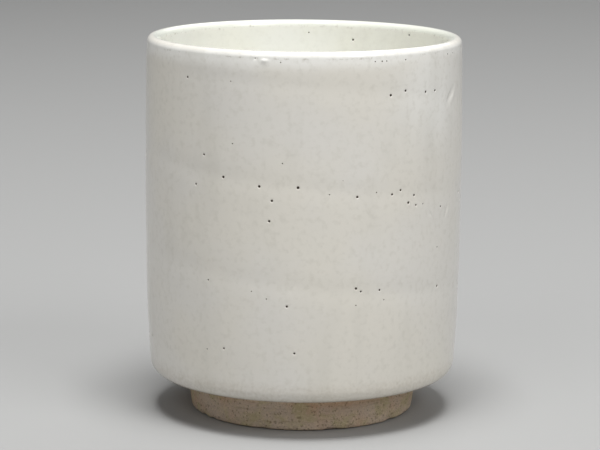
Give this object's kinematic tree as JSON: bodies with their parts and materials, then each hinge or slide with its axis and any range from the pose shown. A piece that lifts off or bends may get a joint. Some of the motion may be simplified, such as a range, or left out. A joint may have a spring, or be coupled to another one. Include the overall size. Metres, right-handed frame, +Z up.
{
  "type": "yunomi tea cup",
  "caption": "Tall, nearly straight-sided stoneware tea cup in white glaze, with a rounded lip and a bare brown foot ring.",
  "frame": {"origin": "centre of the foot ring, on the face that rests on the table", "axes": "+Z up along the cup's axis, towards its mouth"},
  "size_m": [0.0726, 0.0726, 0.0865],
  "materials": {
    "bare_clay": "matte",
    "foot_clay": "matte",
    "poured_glaze": "gloss",
    "dipped_glaze": "gloss"
  },
  "bodies": {
    "root": {"clay_body": "bare_clay", "foot_ring": "foot_clay", "inner_glaze": "poured_glaze", "outer_glaze": "dipped_glaze"}
  },
  "joints": []
}
